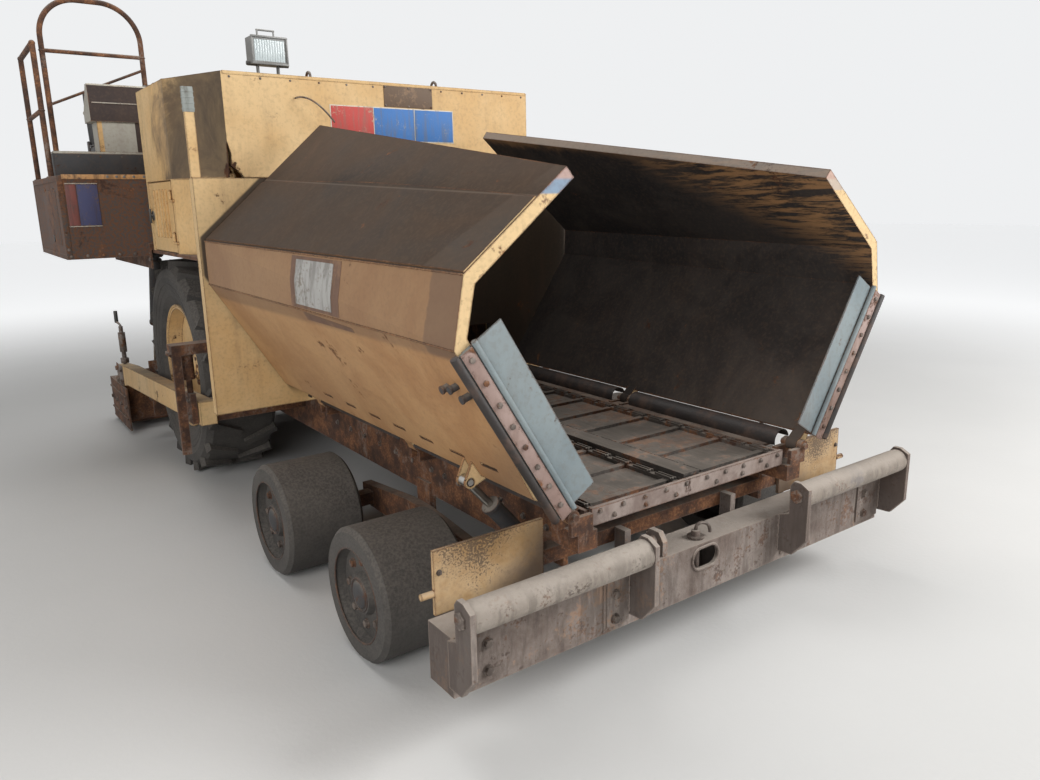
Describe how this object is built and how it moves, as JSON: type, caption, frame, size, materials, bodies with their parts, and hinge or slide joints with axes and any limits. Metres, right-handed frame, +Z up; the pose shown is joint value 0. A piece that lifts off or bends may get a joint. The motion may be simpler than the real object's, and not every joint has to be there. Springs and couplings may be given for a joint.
{
  "type": "wheeled asphalt paver",
  "caption": "Wheeled asphalt paver with raised hopper wings, push rollers, ochre hood, rear drive wheels, augers and a towed screed; worn and rusty.",
  "frame": {"origin": "centre of the bounding box on the ground", "axes": "-Y forward towards the push rollers, +Y rearward towards the screed, +X to the machine's left, +Z up"},
  "size_m": [3.34, 5.87, 3.1475],
  "materials": {
    "ochre_paint": "worn ochre paint with rust",
    "rusty_paint": "dark rusty paint",
    "dark_paint": "dark worn paint",
    "console_paint": "pale worn paint",
    "tyre_rubber": "dusty black rubber",
    "roller_steel": "worn steel",
    "worn_steel": "worn dark steel",
    "rod_chrome": "dull chrome",
    "flap_sheet": "worn blue-grey sheet",
    "lamp_aluminium": "dull cast",
    "engine_iron": "oily",
    "seat_vinyl": "worn",
    "black_plastic": "matt"
  },
  "bodies": {
    "chassis": {"chassis": "rusty_paint", "push_beam": "rusty_paint", "apron": "ochre_paint", "conveyor": "worn_steel", "back_wall": "ochre_paint", "hood": "ochre_paint", "engine": "engine_iron", "work_lamp": "lamp_aluminium", "exhaust": "rusty_paint", "bogies": "rusty_paint", "platform": "rusty_paint", "stands": "rusty_paint", "consoles": "console_paint", "seats": "seat_vinyl", "handrails": "rusty_paint", "auger_mount": "rusty_paint"},
    "screed": {"tow_arms": "ochre_paint", "screed": "rusty_paint"},
    "push_roller_left": {"push_roller_left": "roller_steel"},
    "push_roller_right": {"push_roller_right": "roller_steel"},
    "wing_barrel_left": {"wing_barrel_left": "dark_paint"},
    "wing_barrel_right": {"wing_barrel_right": "dark_paint"},
    "wing_rod_left": {"wing_rod_left": "rod_chrome"},
    "wing_rod_right": {"wing_rod_right": "rod_chrome"},
    "hood_door_left": {"hood_door_left": "ochre_paint"},
    "hood_door_right": {"hood_door_right": "ochre_paint"},
    "knuckle_1_left": {"knuckle_1_left": "dark_paint"},
    "knuckle_1_right": {"knuckle_1_right": "dark_paint"},
    "knuckle_2_left": {"knuckle_2_left": "dark_paint"},
    "knuckle_2_right": {"knuckle_2_right": "dark_paint"},
    "front_wheel_1_left": {"front_wheel_1_left": "tyre_rubber"},
    "front_wheel_1_right": {"front_wheel_1_right": "tyre_rubber"},
    "front_wheel_2_left": {"front_wheel_2_left": "tyre_rubber"},
    "front_wheel_2_right": {"front_wheel_2_right": "tyre_rubber"},
    "steering_wheel": {"steering_wheel": "black_plastic"},
    "auger_left": {"auger_left": "worn_steel"},
    "auger_right": {"auger_right": "worn_steel"},
    "lift_barrel_left": {"lift_barrel_left": "dark_paint"},
    "lift_barrel_right": {"lift_barrel_right": "dark_paint"},
    "lift_rod_left": {"lift_rod_left": "rod_chrome"},
    "lift_rod_right": {"lift_rod_right": "rod_chrome"},
    "wing_left": {"wing_left": "ochre_paint", "flap_left": "flap_sheet"},
    "rear_wheel_left": {"rear_tyre_left": "tyre_rubber", "rear_rim_left": "ochre_paint"},
    "wing_right": {"wing_right": "ochre_paint", "flap_right": "flap_sheet"},
    "rear_wheel_right": {"rear_tyre_right": "tyre_rubber", "rear_rim_right": "ochre_paint"}
  },
  "joints": [
    {"name": "wing_hinge_left", "type": "hinge", "parent": "chassis", "child": "wing_left", "pos_m": [0.67, -2.6, 0.704], "axis": [0, 1, 0], "range_deg": [0, 40]},
    {"name": "wing_barrel_pin_left", "type": "hinge", "parent": "chassis", "child": "wing_barrel_left", "pos_m": [0.64, -2.4, 0.5], "axis": [0, 1, 0], "range_deg": [0, 22.99]},
    {"name": "wing_rod_slide_left", "type": "slide", "parent": "wing_barrel_left", "child": "wing_rod_left", "axis": [0.6549, 0, 0.7557], "range_m": [-0.0969, 0]},
    {"name": "push_roller_turn_left", "type": "hinge", "parent": "chassis", "child": "push_roller_left", "pos_m": [0.836, -2.88, 0.56], "axis": [1, 0, 0], "continuous": true},
    {"name": "hood_door_hinge_left", "type": "hinge", "parent": "chassis", "child": "hood_door_left", "pos_m": [1.189, 0.253, 1.73], "axis": [0, 0, -1], "range_deg": [0, 95]},
    {"name": "steer_1_left", "type": "hinge", "parent": "chassis", "child": "knuckle_1_left", "pos_m": [0.925, -2.02, 0.276], "axis": [0, 0, 1], "range_deg": [-15, 15]},
    {"name": "front_wheel_1_left_turn", "type": "hinge", "parent": "knuckle_1_left", "child": "front_wheel_1_left", "pos_m": [1.01, -2.02, 0.276], "axis": [1, 0, 0], "continuous": true},
    {"name": "steer_2_left", "type": "hinge", "parent": "chassis", "child": "knuckle_2_left", "pos_m": [0.925, -1.04, 0.276], "axis": [0, 0, 1], "range_deg": [-9.1, 9.1]},
    {"name": "front_wheel_2_left_turn", "type": "hinge", "parent": "knuckle_2_left", "child": "front_wheel_2_left", "pos_m": [1.01, -1.04, 0.276], "axis": [1, 0, 0], "continuous": true},
    {"name": "rear_wheel_turn_left", "type": "hinge", "parent": "chassis", "child": "rear_wheel_left", "pos_m": [0.875, 0.96, 0.725], "axis": [1, 0, 0], "continuous": true},
    {"name": "auger_turn_left", "type": "hinge", "parent": "chassis", "child": "auger_left", "pos_m": [0.6, 2, 0.33], "axis": [1, 0, 0], "continuous": true},
    {"name": "wing_hinge_right", "type": "hinge", "parent": "chassis", "child": "wing_right", "pos_m": [-0.67, -2.6, 0.704], "axis": [0, -1, 0], "range_deg": [0, 40]},
    {"name": "wing_barrel_pin_right", "type": "hinge", "parent": "chassis", "child": "wing_barrel_right", "pos_m": [-0.64, -2.4, 0.5], "axis": [0, -1, 0], "range_deg": [0, 22.99]},
    {"name": "wing_rod_slide_right", "type": "slide", "parent": "wing_barrel_right", "child": "wing_rod_right", "axis": [-0.6549, 0, 0.7557], "range_m": [-0.0969, 0]},
    {"name": "push_roller_turn_right", "type": "hinge", "parent": "chassis", "child": "push_roller_right", "pos_m": [-0.836, -2.88, 0.56], "axis": [1, 0, 0], "continuous": true},
    {"name": "hood_door_hinge_right", "type": "hinge", "parent": "chassis", "child": "hood_door_right", "pos_m": [-1.189, 0.253, 1.73], "axis": [0, 0, 1], "range_deg": [0, 95]},
    {"name": "steer_1_right", "type": "hinge", "parent": "chassis", "child": "knuckle_1_right", "pos_m": [-0.925, -2.02, 0.276], "axis": [0, 0, 1], "range_deg": [-15, 15]},
    {"name": "front_wheel_1_right_turn", "type": "hinge", "parent": "knuckle_1_right", "child": "front_wheel_1_right", "pos_m": [-1.01, -2.02, 0.276], "axis": [1, 0, 0], "continuous": true},
    {"name": "steer_2_right", "type": "hinge", "parent": "chassis", "child": "knuckle_2_right", "pos_m": [-0.925, -1.04, 0.276], "axis": [0, 0, 1], "range_deg": [-9.1, 9.1]},
    {"name": "front_wheel_2_right_turn", "type": "hinge", "parent": "knuckle_2_right", "child": "front_wheel_2_right", "pos_m": [-1.01, -1.04, 0.276], "axis": [1, 0, 0], "continuous": true},
    {"name": "rear_wheel_turn_right", "type": "hinge", "parent": "chassis", "child": "rear_wheel_right", "pos_m": [-0.875, 0.96, 0.725], "axis": [1, 0, 0], "continuous": true},
    {"name": "auger_turn_right", "type": "hinge", "parent": "chassis", "child": "auger_right", "pos_m": [-0.6, 2, 0.33], "axis": [1, 0, 0], "continuous": true},
    {"name": "screed_lift", "type": "hinge", "parent": "chassis", "child": "screed", "pos_m": [0, 0.02, 0.62], "axis": [1, 0, 0], "range_deg": [-1, 8]},
    {"name": "lift_barrel_pin_left", "type": "hinge", "parent": "chassis", "child": "lift_barrel_left", "pos_m": [0.95, 1.93, 1.44], "axis": [1, 0, 0], "range_deg": [-1.27, 9.49]},
    {"name": "lift_rod_slide_left", "type": "slide", "parent": "lift_barrel_left", "child": "lift_rod_left", "axis": [0, 0.4008, -0.9162], "range_m": [-0.2898, 0.0371]},
    {"name": "lift_barrel_pin_right", "type": "hinge", "parent": "chassis", "child": "lift_barrel_right", "pos_m": [-0.95, 1.93, 1.44], "axis": [1, 0, 0], "range_deg": [-1.27, 9.49]},
    {"name": "lift_rod_slide_right", "type": "slide", "parent": "lift_barrel_right", "child": "lift_rod_right", "axis": [0, 0.4008, -0.9162], "range_m": [-0.2898, 0.0371]},
    {"name": "steering_wheel_turn", "type": "hinge", "parent": "chassis", "child": "steering_wheel", "pos_m": [-1.16, 1.54, 2.345], "axis": [0, 0.6428, 0.766], "continuous": true}
  ],
  "couplings": [
    {"joint": "wing_barrel_pin_left", "follows": "wing_hinge_left", "ratio": 0.5697},
    {"joint": "wing_rod_slide_left", "follows": "wing_hinge_left", "m_per_rad": -0.13803},
    {"joint": "steer_2_left", "follows": "steer_1_left", "ratio": 0.6},
    {"joint": "wing_barrel_pin_right", "follows": "wing_hinge_right", "ratio": 0.5697},
    {"joint": "wing_rod_slide_right", "follows": "wing_hinge_right", "m_per_rad": -0.13803},
    {"joint": "steer_1_right", "follows": "steer_1_left", "ratio": 1},
    {"joint": "steer_2_right", "follows": "steer_1_left", "ratio": 0.6},
    {"joint": "lift_barrel_pin_left", "follows": "screed_lift", "ratio": 1.1734},
    {"joint": "lift_rod_slide_left", "follows": "screed_lift", "m_per_rad": -2.0685},
    {"joint": "lift_barrel_pin_right", "follows": "screed_lift", "ratio": 1.1734},
    {"joint": "lift_rod_slide_right", "follows": "screed_lift", "m_per_rad": -2.0685}
  ]
}
